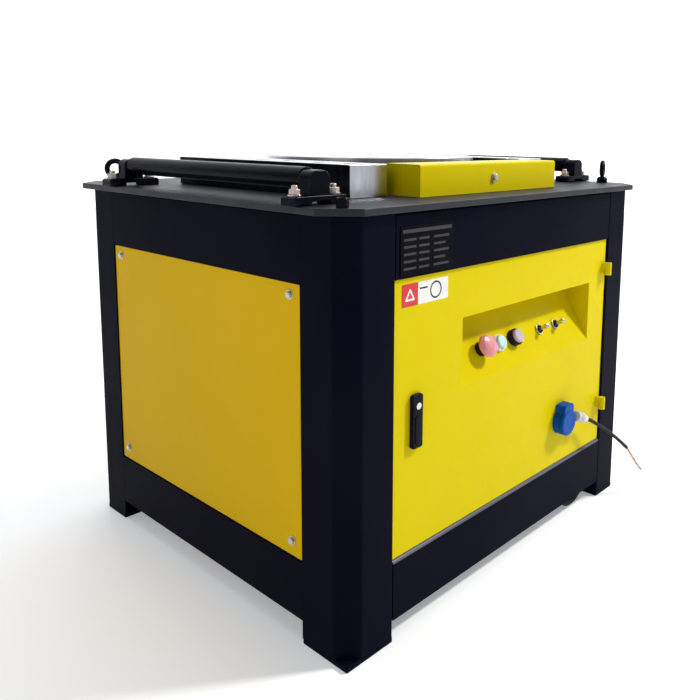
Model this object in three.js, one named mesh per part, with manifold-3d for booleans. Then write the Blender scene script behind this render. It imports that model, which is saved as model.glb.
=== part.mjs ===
// Rebar bending machine, 40 mm class: a steel cabinet on four legs, a table plate with a
// turning disc between two pin blocks and two rollers, and a motor, belt and worm gearbox inside.
// Millimetres, +X to the right seen from the door, -Y towards the door, +Z up.
// The origin is on the floor under the middle of the cabinet.

import * as THREE from 'three';
import { mergeVertices } from 'three/addons/utils/BufferGeometryUtils.js';
import Module from 'manifold-3d';

const wasm = await Module();
wasm.setup();

// ---- driving dimensions ----

const GAP = 0.3;                    // between pieces that touch

const CABINET = { x: 400, y: 358 }; // half width and half depth over the posts
const SHEET = 4;                    // posts and rails
const POST = { x: 92, y: 94, chamfer: 27, lap: 18, fold: 24 };
const FOOT_T = 8;
const FRONT_OPENING = { low: 126, high: 541 };
const SIDE_OPENING = { low: 126, high: 535 };
const RAIL_BOTTOM = { front: 33, side: 36 };
const FLANGE = 28;                  // rail flange, turned inwards
const PANEL = { t: 1.5, inset: 2.2, edge: 1.5 };

const TABLE = { x: 425, y: 370, top: 645, t: 10, chamfer: 45, hole: 50 };
const UNDER = TABLE.top - TABLE.t;  // underside of the table plate
const DECK = TABLE.top + GAP;       // where the pieces on the table start

const DISC = { r: 200, low: 660, top: 700, centreHole: 22, hole: 17 };
const DISC_RINGS = [{ r: 95, count: 4, turn: 0 }, { r: 155, count: 4, turn: 45 }];
const BAR = { inner: 216, outer: 296, near: -253, far: 204, top: 695, hole: 17, holes: 6, pitch: 74 };
const ROLLER = { x: 386, z: 680, r: 15, journal: 7 };
const BRACKET_YS = { left: [-280, 217], right: [-228, 269] };
const BRACKET = {
  half: 46, width: 30, foot: 12.7, head: 17, headT: 26, top: 691.5, round: 12, slot: 16, slotH: 5,
};
const COVER = { left: -194, right: 192, front: -300, back: -230, top: 695, t: 2 };
const SWITCH = { x: -3, w: 30, front: -292, back: -262, h: 34 };
const EYE = { wire: 4.7, ring: 13.4, top: 692, collar: 11, collarH: 10 };
const EYE_SPOTS = [['front_right', 400, -290, 22], ['rear_left', -400, 246, -20]];

const DOOR = { left: -306, right: 306.8, low: 127, high: 539.5, face: -354, depth: 20, t: 2 };
const CONSOLE = { left: -151.2, right: 245.5, low: 349.3, high: 460.6, lean: 60, line: 46 };
const HINGE = { x: 299, y: -365.3, r: 6.5, pin: 3.5, h: 12, lows: [194.3, 470.2], leafX: 293, postX: 311 };
const HANDLE = { x: -261.5, low: 285.6, high: 367.1, w: 22, front: -362, spindle: 6, pivot: 350.2 };
const CAM = { back: -324, t: 4, w: 20, reach: 62 };
const NAMEPLATE = { left: -300, right: -186, low: 545, high: 614, t: 1.2 };
const SOCKET = { x: 153.1, z: 209.1, r: 25, front: -368.3 };
const PLUG = { r: 25, front: -376.3, knobW: 32, knobLow: 12, knobTop: 243.5 };
const CONTROL_BOX = { left: -177, right: 272, low: 334, high: 476, back: -248, t: 1.5 };

const ESTOP = { x: -73.6, r: 19, stem: 9 };
const START = { x: -21.9, r: 11.5, h: 12 };
const STOP = { x: 21.8, r: 12, h: 17.5 };
const TOGGLE = { ball: 4.5, xs: [105.3, 160.0] };

const GEARBOX = { x: 130, near: -125, far: 170, low: 430, wall: 10, lidT: 9.4 };
const SPINDLE = { journal: 30, seat: 40, neck: 45, flange: 62, low: 432, flangeLow: 647 };
const MODULE = 5;
const WHEEL = { teeth: 40, low: 505, high: 535, tip: 104.5, root: 94 };
const WHEEL_PITCH = MODULE * WHEEL.teeth / 2;
const WORM = { y: WHEEL_PITCH + 25, z: 520, tip: 29.5, root: 19, shaft: 15, length: 86 };
const PULLEY = { driven: 84.5, motor: 44.5, groove: 9, mid: -175, half: 17, grooveHalf: 6.5 };
const MOTOR = { y: WORM.y, z: 150, r: 85, left: -140, right: 120, shaft: 14 };
const BELT = { half: 6, t: 7, clear: 1 };

const TRAY = { low: 40.3, t: 3, y: 300 };
const CASTOR = { x: 236, z: 52, r: 50, front: 343, width: 32, axle: 6, cheekT: 3.5, gap: 3.2, top: 121.7 };

const LEAD = { r: 3.5, tip: 1, sides: 8 };
const GLAND = { start: [182.5, -372.4, 213.5], end: [221.9, -373.3, 197.0], r: 10, tip: 6 };
// the free lead, from the gland's end to the end of its sheath, then the bared cores
const LEAD_ROUTE = [
  [224.7, -373.4, 195.8], [233.7, -374.3, 191.6], [242.2, -375.5, 186.9], [250.5, -377, 181.8],
  [258.8, -378.7, 176.6], [267, -380.4, 171.1], [275, -382.1, 165.7], [283.1, -383.9, 160.1],
  [291, -385.6, 154.4], [298.8, -387.4, 148.8], [306.6, -389.1, 142.9], [314.3, -390.9, 137],
  [321.8, -392.7, 130.8], [329.3, -394.5, 124.6], [336.7, -396.3, 118.2], [344, -398, 111.8],
  [351.3, -399.6, 105.3],
];
const CORE_ROUTE = [
  [351.9, -399.8, 104.7], [357.3, -401.2, 98], [362.7, -402.9, 90.3], [368.2, -404.9, 82.4],
  [373.6, -407.4, 73.8], [379, -410, 65.4], [384.7, -413, 57.3], [390.4, -416, 49.2],
];
const CORE_R = 2.4;

// ---- materials ----

function paint(hex, roughness = 0.35, metalness = 0) {
  return new THREE.MeshStandardMaterial({ color: hex, roughness, metalness });
}

const NAVY = paint(0x10141f, 0.4);
const YELLOW = paint(0xe6cf0c, 0.3);
const STEEL = paint(0xb9bcc4, 0.3, 0.9);
const ZINC = paint(0xa7a9ac, 0.4, 0.8);
const BLACK = paint(0x0b0b0d, 0.45);
const RUBBER = paint(0x141414, 0.8);
const CAST = paint(0x3c4450, 0.6, 0.2);
const BRONZE = paint(0xa37a3c, 0.4, 0.8);
const RED = paint(0xd8566a, 0.3);
const GREEN_PALE = paint(0xbfe3e0, 0.3);
const LILAC = paint(0xcbbfd0, 0.35);
const BLUE = paint(0x1560d8, 0.35);
const PALE_GREY = paint(0xd0d2d8, 0.5);
const COPPER = paint(0xb98a6a, 0.4, 0.7);

// ---- solids ----

// A closed mesh with shared corners, no sliver triangles and its faces pointing out.
function tidied(geometry) {
  const bare = geometry.clone();
  bare.deleteAttribute('normal');
  bare.deleteAttribute('uv');
  const merged = mergeVertices(bare, 1e-3);
  const at = merged.attributes.position;
  const index = merged.index.array;
  const kept = [];
  const [a, b, c] = [new THREE.Vector3(), new THREE.Vector3(), new THREE.Vector3()];
  let volume = 0;
  for (let i = 0; i < index.length; i += 3) {
    const [p, q, r] = [index[i], index[i + 1], index[i + 2]];
    if (p === q || q === r || r === p) continue;
    a.fromBufferAttribute(at, p);
    b.fromBufferAttribute(at, q);
    c.fromBufferAttribute(at, r);
    volume += a.dot(b.cross(c));
    kept.push(p, q, r);
  }
  if (volume < 0) {
    for (let i = 0; i < kept.length; i += 3) [kept[i], kept[i + 1]] = [kept[i + 1], kept[i]];
  }
  const result = new THREE.BufferGeometry();
  result.setAttribute('position', at);
  result.setIndex(kept);
  return result;
}

function solid(geometry) {
  const closed = tidied(geometry);
  return new wasm.Manifold(new wasm.Mesh({
    numProp: 3,
    vertProperties: new Float32Array(closed.attributes.position.array),
    triVerts: new Uint32Array(closed.index.array),
  }));
}

function geometryOf(body) {
  const mesh = body.getMesh();
  const geometry = new THREE.BufferGeometry();
  geometry.setAttribute('position', new THREE.BufferAttribute(new Float32Array(mesh.vertProperties), 3));
  geometry.setIndex(new THREE.BufferAttribute(new Uint32Array(mesh.triVerts), 1));
  return geometry;
}

function join(first, ...others) {
  return geometryOf(others.reduce((body, other) => body.add(solid(other)), solid(first)));
}

function cut(first, ...others) {
  return geometryOf(others.reduce((body, other) => body.subtract(solid(other)), solid(first)));
}

function box(x0, x1, y0, y1, z0, z1) {
  const geometry = new THREE.BoxGeometry(x1 - x0, y1 - y0, z1 - z0);
  return geometry.translate((x0 + x1) / 2, (y0 + y1) / 2, (z0 + z1) / 2);
}

function ring(cx, cy, r, count = 24) {
  const points = [];
  for (let i = 0; i < count; i += 1) {
    const angle = 2 * Math.PI * i / count;
    points.push([cx + r * Math.cos(angle), cy + r * Math.sin(angle)]);
  }
  return points;
}

function extruded(points, holes, length) {
  const shape = new THREE.Shape(points.map(([a, b]) => new THREE.Vector2(a, b)));
  for (const hole of holes) {
    shape.holes.push(new THREE.Path(hole.map(([a, b]) => new THREE.Vector2(a, b))));
  }
  return new THREE.ExtrudeGeometry(shape, { depth: length, bevelEnabled: false });
}

// points [x, y], from z0 to z1
function prismZ(points, z0, z1, holes = []) {
  return extruded(points, holes, z1 - z0).translate(0, 0, z0);
}

// points [y, z], from x0 to x1
function prismX(points, x0, x1, holes = []) {
  const turn = new THREE.Matrix4().set(0, 0, 1, x0, 1, 0, 0, 0, 0, 1, 0, 0, 0, 0, 0, 1);
  return extruded(points, holes, x1 - x0).applyMatrix4(turn);
}

// points [x, z], from y0 to y1
function prismY(points, y0, y1, holes = []) {
  const swap = ([x, z]) => [z, x];
  const turn = new THREE.Matrix4().set(0, 1, 0, 0, 0, 0, 1, y0, 1, 0, 0, 0, 0, 0, 0, 1);
  return extruded(points.map(swap), holes.map((hole) => hole.map(swap)), y1 - y0).applyMatrix4(turn);
}

// profile [radius, height], turned about +Z
function turned(profile, count = 24) {
  const points = profile.map(([r, h]) => new THREE.Vector2(r, h));
  return new THREE.LatheGeometry(points, count).rotateX(Math.PI / 2);
}

function rod(r, z0, z1, count = 24) {
  return turned([[0, z0], [r, z0], [r, z1], [0, z1]], count);
}

function alongX(geometry) {
  return geometry.rotateY(Math.PI / 2);
}

function alongY(geometry) {
  return geometry.rotateX(-Math.PI / 2);
}

function swept(route, r, sides) {
  const curve = new THREE.CatmullRomCurve3(route.map(([x, y, z]) => new THREE.Vector3(x, y, z)));
  const section = new THREE.Shape(ring(0, 0, r, sides).map(([a, b]) => new THREE.Vector2(a, b)));
  return new THREE.ExtrudeGeometry(section, { steps: route.length, extrudePath: curve });
}

// Draws in the first ring of a swept wire, so that it can turn close to what it comes out of.
function pointed(geometry, [x, y, z], r, tip) {
  const start = new THREE.Vector3(x, y, z);
  const points = geometry.attributes.position;
  const p = new THREE.Vector3();
  for (let i = 0; i < points.count; i += 1) {
    p.fromBufferAttribute(points, i);
    if (p.distanceTo(start) < r * 1.02) p.sub(start).multiplyScalar(tip / r).add(start);
    points.setXYZ(i, p.x, p.y, p.z);
  }
  return geometry;
}

const machine = new THREE.Group();
machine.name = 'rebar_bender';

function place(name, geometry, material, parent = machine) {
  const mesh = new THREE.Mesh(tidied(geometry), material);
  mesh.name = name;
  parent.add(mesh);
  return mesh;
}

// ---- cabinet frame ----

// One leg: a folded post with a chamfered outer corner on a foot plate, whose own corner is square
// or cut to follow the post. A strip behind an edge carries a screwed panel; the edge beside the
// door is folded inwards instead.
function cornerPost(name, sideX, sideY, panelBehind, squareFoot) {
  const { x, y, chamfer, lap, fold } = POST;
  const inner = chamfer + SHEET * Math.SQRT2 - SHEET;
  const corner = ([u, v]) => [sideX * (CABINET.x - u), sideY * (CABINET.y - v)];
  const folded = [[x, 0], [x, fold], [x - SHEET, fold], [x - SHEET, SHEET]];
  const open = panelBehind ? [[x, 0], [x, SHEET]] : folded;
  const outline = [[chamfer, 0], ...open, [inner, SHEET], [SHEET, inner], [SHEET, y], [0, y], [0, chamfer]];
  const footCorner = squareFoot ? [[0, 0]] : [[0, chamfer], [chamfer, 0]];
  const foot = [...footCorner, [x, 0], [x, y], [0, y]];
  const strip = (end) => [[SHEET - 1, end - 8], [2 * SHEET, end - 8], [2 * SHEET, end + lap],
    [SHEET, end + lap], [SHEET, end], [SHEET - 1, end]];
  const strips = [strip(y), ...(panelBehind ? [strip(x).map(([u, v]) => [v, u])] : [])];
  const low = SIDE_OPENING.low + lap + 1;
  const high = SIDE_OPENING.high - lap - 1;
  place(name, join(prismZ(outline.map(corner), FOOT_T / 2, UNDER - GAP), prismZ(foot.map(corner), 0, FOOT_T),
    ...strips.map((points) => prismZ(points.map(corner), low, high))), NAVY);
}

function cornerPosts() {
  cornerPost('corner_post_front_left', -1, -1, false, true);
  cornerPost('corner_post_front_right', 1, -1, false, false);
  cornerPost('corner_post_rear_left', -1, 1, true, false);
  cornerPost('corner_post_rear_right', 1, 1, true, false);
}

// Rail sections as [depth inwards, height]. A lap lies behind the opening's edge for a panel.
function topRail(low, lap) {
  const top = UNDER - GAP;
  const strip = [[SHEET, low + 8], [2 * SHEET, low + 8], [2 * SHEET, low - lap], [SHEET, low - lap]];
  return [[0, low], [0, top], [FLANGE, top], [FLANGE, top - SHEET], [SHEET, top - SHEET],
    ...(lap ? strip : []), [SHEET, low]];
}

function bottomRail(low, high, lap) {
  const strip = [[SHEET, high], [SHEET, high + lap], [2 * SHEET, high + lap], [2 * SHEET, high - 8],
    [SHEET, high - 8]];
  const flange = [[FLANGE, high], [FLANGE, high - SHEET], [SHEET, high - SHEET]];
  return [[0, low], [0, high], ...(lap ? strip : flange), [SHEET, low]];
}

function rails() {
  const halfX = CABINET.x - POST.x - GAP;
  const halfY = CABINET.y - POST.y - GAP;
  const ends = [['front', -1, FRONT_OPENING, 0], ['rear', 1, SIDE_OPENING, POST.lap]];
  for (const [end, side, opening, lap] of ends) {
    const section = ([u, v]) => [side * (CABINET.y - u), v];
    place(`top_rail_${end}`, prismX(topRail(opening.high, lap).map(section), -halfX, halfX), NAVY);
    const low = bottomRail(RAIL_BOTTOM.front, opening.low, lap).map(section);
    place(`bottom_rail_${end}`, prismX(low, -halfX, halfX), NAVY);
  }
  for (const [end, side] of [['left', -1], ['right', 1]]) {
    const section = ([u, v]) => [side * (CABINET.x - u), v];
    place(`top_rail_${end}`, prismY(topRail(SIDE_OPENING.high, POST.lap).map(section), -halfY, halfY), NAVY);
    const low = bottomRail(RAIL_BOTTOM.side, SIDE_OPENING.low, POST.lap).map(section);
    place(`bottom_rail_${end}`, prismY(low, -halfY, halfY), NAVY);
  }
}

function panels() {
  const { t, inset, edge } = PANEL;
  const low = SIDE_OPENING.low + edge;
  const high = SIDE_OPENING.high - edge;
  const halfY = CABINET.y - POST.y - edge;
  const halfX = CABINET.x - POST.x - edge;
  const out = CABINET.x - inset;
  place('side_panel_left', box(-out, -out + t, -halfY, halfY, low, high), YELLOW);
  place('side_panel_right', box(out - t, out, -halfY, halfY, low, high), YELLOW);
  const back = CABINET.y - inset;
  place('rear_panel', box(-halfX, halfX, back - t, back, low, high), YELLOW);
}

function baseTray() {
  const half = CABINET.x - SHEET - GAP;
  const { low, t, y } = TRAY;
  const plate = box(-half, half, -y, y, low, low + t);
  const lip = (side) => box(-half + 30, half - 30, side * y - t / 2, side * y + t / 2, low, low + 30);
  place('base_tray', join(plate, lip(-1), lip(1)), NAVY);
}

// ---- table ----

function tablePlate() {
  const { x, y, chamfer: c, hole } = TABLE;
  const outline = [[c - x, -y], [x - c, -y], [x, c - y], [x, y - c], [x - c, y], [c - x, y], [-x, y - c],
    [-x, c - y]];
  place('table_plate', prismZ(outline, UNDER, TABLE.top, [ring(0, 0, hole, 32)]), NAVY);
}

// The two pin blocks are the same casting, one turned half a turn.
function pinBlocks() {
  const { inner, outer, near, far, top, hole, holes, pitch } = BAR;
  for (const [name, side] of [['pin_block_left', -1], ['pin_block_right', 1]]) {
    const x = side * (inner + outer) / 2;
    const y = -side * (near + far) / 2;
    const half = [(outer - inner) / 2, (far - near) / 2];
    const outline = [[-half[0], -half[1]], [half[0], -half[1]], half, [-half[0], half[1]]];
    const sockets = [];
    for (let i = 0; i < holes; i += 1) sockets.push(ring(0, (i - (holes - 1) / 2) * pitch, hole, 16));
    place(name, prismZ(outline, DECK, top, sockets), STEEL).position.set(x, y, 0);
  }
}

function bracketGeometry() {
  const { half, width, foot, head, headT, top, round, slot, slotH } = BRACKET;
  const base = [[-half, DECK], [-slot, DECK], [-slot, DECK + slotH], [slot, DECK + slotH], [slot, DECK],
    [half, DECK], [half, DECK + foot - 3], [half - 3, DECK + foot], [3 - half, DECK + foot],
    [-half, DECK + foot - 3]];
  const cheek = [[-head, DECK + slotH + 2], [head, DECK + slotH + 2]];
  for (const [side, start] of [[1, 0], [-1, Math.PI / 2]]) {
    for (let i = 0; i <= 4; i += 1) {
      const angle = start + Math.PI * i / 8;
      cheek.push([side * (head - round) + round * Math.cos(angle), top - round + round * Math.sin(angle)]);
    }
  }
  const bore = ring(0, ROLLER.z, ROLLER.journal + 0.5, 24);
  const feet = prismY(base, -width / 2, width / 2);
  return cut(join(feet, prismY(cheek, -headT / 2, headT / 2)), prismY(bore, -width, width));
}

function rollers() {
  const bracket = bracketGeometry();
  const { x, z, r, journal } = ROLLER;
  const face = BRACKET.headT / 2;
  for (const [side, name] of [[-1, 'left'], [1, 'right']]) {
    const [front, rear] = BRACKET_YS[name];
    const half = (rear - front) / 2;
    const body = half - face - 1;
    const end = half + face - 1;
    const profile = [[0, -end], [journal, -end], [journal, -body], [r - 1, -body], [r, 1 - body],
      [r, body - 1], [r - 1, body], [journal, body], [journal, end], [0, end]];
    place(`roller_bracket_${name}_front`, bracket, NAVY).position.set(side * x, front, 0);
    place(`roller_bracket_${name}_rear`, bracket, NAVY).position.set(side * x, rear, 0);
    place(`roller_${name}`, alongY(turned(profile)), BLACK).position.set(side * x, (front + rear) / 2, z);
  }
}

function eyeBolts() {
  const { wire, ring: big, top, collar, collarH } = EYE;
  const centre = top - big - wire;
  const loop = new THREE.TorusGeometry(big, wire, 8, 24).rotateX(Math.PI / 2).translate(0, 0, centre);
  const seat = turned([[0, DECK], [collar, DECK], [collar, DECK + collarH - 2], [7, DECK + collarH + 2],
    [0, DECK + collarH + 2]], 16);
  const bolt = join(seat, loop);
  for (const [name, x, y, turn] of EYE_SPOTS) {
    const mesh = place(`eye_bolt_${name}`, bolt, BLACK);
    mesh.position.set(x, y, 0);
    mesh.rotation.z = turn * Math.PI / 180;
  }
}

// The switch cover is a folded channel, open underneath and towards the disc.
function switchCover() {
  const { left, right, front, back, top, t } = COVER;
  const outside = box(left, right, front, back, DECK, top);
  place('switch_cover', cut(outside, box(left + t, right - t, front + t, back + 1, 0, top - t)), YELLOW);
  const { x, w, front: near, back: far, h } = SWITCH;
  const body = box(-w / 2, w / 2, near, far, DECK, DECK + h);
  const arm = box(-3, 3, far - 1, far + 12, DECK + h - 12, DECK + h - 8);
  const roller = alongX(rod(5, -3, 3, 12)).translate(0, far + 12, DECK + h - 10);
  place('limit_switch', join(body, arm, roller), BLACK).position.x = x;
}

// ---- drive ----

function bendingDisc() {
  const holes = [ring(0, 0, DISC.centreHole, 24)];
  for (const { r, count, turn } of DISC_RINGS) {
    for (let i = 0; i < count; i += 1) {
      const angle = (360 * i / count + turn) * Math.PI / 180;
      holes.push(ring(r * Math.cos(angle), r * Math.sin(angle), DISC.hole, 16));
    }
  }
  place('bending_disc', prismZ(ring(0, 0, DISC.r, 64), DISC.low, DISC.top, holes), STEEL);
}

function mainSpindle() {
  const { journal, seat, neck, flange, low, flangeLow } = SPINDLE;
  const top = DISC.low - GAP;
  const profile = [[0, low], [journal, low], [journal, 470], [seat, 470], [seat, WHEEL.high + GAP],
    [neck, WHEEL.high + GAP], [neck, flangeLow], [flange, flangeLow], [flange, top], [0, top]];
  place('main_spindle', turned(profile, 32), STEEL);
}

function wormWheel() {
  const outline = [];
  const step = 2 * Math.PI / WHEEL.teeth;
  for (let i = 0; i < WHEEL.teeth; i += 1) {
    const middle = Math.PI / 2 + (i + 0.5) * step;
    const corners = [[WHEEL.root, -4 / WHEEL.root], [WHEEL.tip, -2.2 / WHEEL.tip],
      [WHEEL.tip, 2.2 / WHEEL.tip], [WHEEL.root, 4 / WHEEL.root]];
    for (const [r, offset] of corners) {
      outline.push([r * Math.cos(middle + offset), r * Math.sin(middle + offset)]);
    }
  }
  const bore = ring(0, 0, SPINDLE.seat + GAP, 32);
  place('worm_wheel', prismZ(outline, WHEEL.low, WHEEL.high, [bore]), BRONZE);
}

// One thread start, wound along +X.
function wormThread() {
  const lead = Math.PI * MODULE;
  const perTurn = 12;
  const steps = Math.round(WORM.length / lead * perTurn);
  const section = [[WORM.root - 2, -3.4], [WORM.tip, -1.5], [WORM.tip, 1.5], [WORM.root - 2, 3.4]];
  const positions = [];
  const index = [];
  for (let i = 0; i <= steps; i += 1) {
    const x = (i - steps / 2) * lead / perTurn;
    const angle = 2 * Math.PI * (x + lead / 2) / lead;
    for (const [r, shift] of section) positions.push(x + shift, r * Math.cos(angle), r * Math.sin(angle));
  }
  for (let i = 0; i < steps; i += 1) {
    for (let k = 0; k < 4; k += 1) {
      const [a, b] = [4 * i + k, 4 * i + (k + 1) % 4];
      index.push(a, b, b + 4, a, b + 4, a + 4);
    }
  }
  const last = 4 * steps;
  index.push(0, 2, 1, 0, 3, 2, last, last + 1, last + 2, last, last + 2, last + 3);
  const geometry = new THREE.BufferGeometry();
  geometry.setAttribute('position', new THREE.Float32BufferAttribute(positions, 3));
  geometry.setIndex(index);
  return geometry;
}

function pulley(outer, bore) {
  const { groove, half, grooveHalf } = PULLEY;
  const profile = [[bore, -half], [outer, -half], [outer, -grooveHalf - 2], [outer - groove, -grooveHalf],
    [outer - groove, grooveHalf], [outer, grooveHalf + 2], [outer, half], [bore, half], [bore, -half]];
  return alongX(turned(profile, 32));
}

function wormShaft() {
  const { root, shaft, length } = WORM;
  const left = PULLEY.mid - PULLEY.half - 6;
  const right = GEARBOX.x - 2;
  const core = turned([[0, left], [shaft, left], [shaft, -length / 2 - 8], [root, -length / 2 - 8],
    [root, length / 2 + 8], [shaft, length / 2 + 8], [shaft, right], [0, right]]);
  const mesh = place('worm_shaft', join(alongX(core), wormThread()), STEEL);
  mesh.position.set(0, WORM.y, WORM.z);
  const driven = place('driven_pulley', pulley(PULLEY.driven, shaft + 2 * GAP), CAST);
  driven.position.set(PULLEY.mid, WORM.y, WORM.z);
}

function motor() {
  const { y, z, r, left, right, shaft } = MOTOR;
  const length = right - left;
  const shell = [[0, 0], [r * 0.55, 0], [r * 0.8, 14], [r, 22], [r, length - 60], [r * 0.94, length - 56],
    [r * 0.94, length], [0, length]];
  const casing = alongX(turned(shell, 28)).translate(left, y, z);
  const fins = [-50, -25, 0, 25, 50].map((angle) => box(left + 26, right - 66, -2, 2, r - 4, r + 5)
    .rotateX(angle * Math.PI / 180 + Math.PI).translate(0, y, z));
  const terminals = box(left + 60, left + 150, y - 40, y + 40, z + r - 12, z + r + 30);
  const floor = TRAY.low + TRAY.t + GAP;
  const feet = [left + 45, right - 95].map((x) => box(x, x + 34, y - 92, y + 92, floor, z - 45));
  const socket = alongX(rod(shaft + 0.6, -1, 20)).translate(left, y, z);
  place('motor', cut(join(casing, ...fins, terminals, ...feet), socket), CAST);
  const stub = alongX(rod(shaft, PULLEY.mid - PULLEY.half - 4, left + 16)).translate(0, y, z);
  const wheel = pulley(PULLEY.motor, shaft - 1).translate(PULLEY.mid, y, z);
  place('motor_pulley', join(stub, wheel), CAST);
}

// A loop round two pulleys, as [y, z] points.
function beltLoop(upper, lower) {
  const span = WORM.z - MOTOR.z;
  const lean = Math.asin((upper - lower) / span);
  const points = [];
  const steps = 16;
  for (let i = 0; i <= steps; i += 1) {
    const angle = -lean + (Math.PI + 2 * lean) * i / steps;
    points.push([WORM.y + upper * Math.cos(angle), WORM.z + upper * Math.sin(angle)]);
  }
  for (let i = 0; i <= steps; i += 1) {
    const angle = Math.PI + lean + (Math.PI - 2 * lean) * i / steps;
    points.push([MOTOR.y + lower * Math.cos(angle), MOTOR.z + lower * Math.sin(angle)]);
  }
  return points;
}

function driveBelt() {
  const upper = PULLEY.driven - PULLEY.groove + BELT.clear;
  const lower = PULLEY.motor - PULLEY.groove + BELT.clear;
  const outline = beltLoop(upper + BELT.t, lower + BELT.t);
  const inside = beltLoop(upper, lower);
  place('drive_belt', prismX(outline, PULLEY.mid - BELT.half, PULLEY.mid + BELT.half, [inside]), RUBBER);
}

function gearbox() {
  const { x, near, far, low, wall, lidT } = GEARBOX;
  const top = UNDER - GAP - lidT;
  const tub = cut(box(-x, x, near, far, low, top - GAP), box(wall - x, x - wall, near + wall, far - wall,
    low + wall, top + 1));
  const boss = rod(SPINDLE.journal + 20, low + 1, 466, 32);
  const foot = rod(SPINDLE.journal + 0.5, low - 1, 480, 32);
  const shaftWay = alongX(rod(WORM.shaft + 0.5, -x - 1, x + 1)).translate(0, WORM.y, WORM.z);
  place('gearbox_housing', cut(join(tub, boss), foot, shaftWay), CAST);
  const outline = [[-x, near], [x, near], [x, far], [-x, far]];
  place('gearbox_lid', prismZ(outline, top, UNDER - GAP, [ring(0, 0, SPINDLE.neck + 1, 32)]), CAST);
}

// ---- wheels at the right-hand end ----

function castors() {
  const { x, z, r, front, width, axle, cheekT, gap, top } = CASTOR;
  const half = width / 2;
  const out = half + gap;
  const tyre = [[axle + 0.5, -half], [r - 4, -half], [r, 4 - half], [r, half - 4], [r - 4, half],
    [axle + 0.5, half], [axle + 0.5, -half]];
  const cheek = [[-33, top - z], [-12, -8], [12, -8], [33, top - z]];
  const sides = [-out - cheekT, out].map((y) => prismY(cheek, y, y + cheekT));
  const bridge = box(-33, 33, -out - cheekT, out + cheekT, top - z - 5, top - z);
  const pin = alongY(rod(axle, -out - cheekT, out + cheekT));
  const fork = join(bridge, ...sides, pin);
  for (const [name, side] of [['front', -1], ['rear', 1]]) {
    const y = side * (front - half);
    place(`wheel_fork_${name}`, fork, ZINC).position.set(x, y, z);
    place(`wheel_${name}`, alongY(turned(tyre, 32)), BLACK).position.set(x, y, z);
  }
}

// ---- door and its fittings ----

const LEAN = CONSOLE.lean * Math.PI / 180;
const NORMAL = new THREE.Vector3(0, -Math.sin(LEAN), Math.cos(LEAN));

// A point on the sloped console plate, on the line that the controls share.
function onConsole(x, height = 0) {
  const y = DOOR.face + CONSOLE.line * Math.cos(LEAN) + height * NORMAL.y;
  return new THREE.Vector3(x, y, CONSOLE.low + CONSOLE.line * Math.sin(LEAN) + height * NORMAL.z);
}

// Turns a piece made about +Z to stand on the console plate.
function standOnConsole(mesh, x) {
  mesh.position.copy(onConsole(x));
  mesh.rotation.x = LEAN;
  return mesh;
}

function consolePan(grow) {
  const { left, right, low, high } = CONSOLE;
  const depth = (high - low) / Math.tan(LEAN);
  const slant = grow / Math.sin(LEAN);
  const front = DOOR.face - (grow > 0 ? -0.5 : 5);
  const slope = (y) => low + (y - DOOR.face) * Math.tan(LEAN);
  const back = DOOR.face + depth + slant + grow / Math.tan(LEAN);
  const start = grow > 0 ? slope(front - slant) : low;
  const outline = grow > 0
    ? [[front, start], [front, high + grow], [back, high + grow]]
    : [[front, low], [DOOR.face, low], [back, high], [front, high]];
  return prismX(outline, left - grow, right + grow);
}

function door() {
  const { left, right, low, high, face, depth, t } = DOOR;
  const shell = cut(box(left, right, face, face + depth, low, high),
    box(left + t, right - t, face + t, face + depth + 1, low + t, high - t));
  const pan = join(shell, consolePan(DOOR.t));
  const stems = [[ESTOP.x, ESTOP.stem], [START.x, START.r], [STOP.x, STOP.r]];
  for (const x of TOGGLE.xs) stems.push([x, TOGGLE.ball]);
  const holes = stems.map(([x, r]) => rod(r + 0.7, -12, 12, 16).rotateX(LEAN)
    .translate(x, onConsole(x).y, onConsole(x).z));
  const spindleHole = alongY(rod(HANDLE.spindle + 1, face - 5, face + 5, 16))
    .translate(HANDLE.x, 0, HANDLE.pivot);
  const open = cut(pan, consolePan(0), spindleHole, ...holes);
  const halves = HINGE.lows.map((z) => hingeHalf(z + HINGE.h + GAP));
  place('door', join(open, ...halves), YELLOW);
}

// Door half of a lift-off hinge: a bored barrel on a block welded to the door's face.
function hingeHalf(z) {
  const { x, y, r, pin, h, leafX } = HINGE;
  const barrel = rod(r, z, z + h, 20).translate(x, y, 0);
  const block = box(leafX, x - 1, y + 1, DOOR.face + 0.5, z, z + h);
  const bore = rod(pin + 0.5, z - 1, z + h + 1, 20).translate(x, y, 0);
  return cut(join(barrel, block), bore);
}

// Post half: a barrel on a leaf welded to the post, with the pin standing in it.
function hingePosts() {
  const { x, y, r, pin, h, lows, postX } = HINGE;
  for (const [name, z] of [['hinge_pin_lower', lows[0]], ['hinge_pin_upper', lows[1]]]) {
    const barrel = rod(r, z, z + h, 20).translate(x, y, 0);
    const leaf = box(x + 1, postX, y + 1, -CABINET.y - GAP, z, z + h);
    const stem = rod(pin, z + 1, z + 2 * h, 20).translate(x, y, 0);
    place(name, join(barrel, leaf, stem), YELLOW);
  }
}

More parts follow.
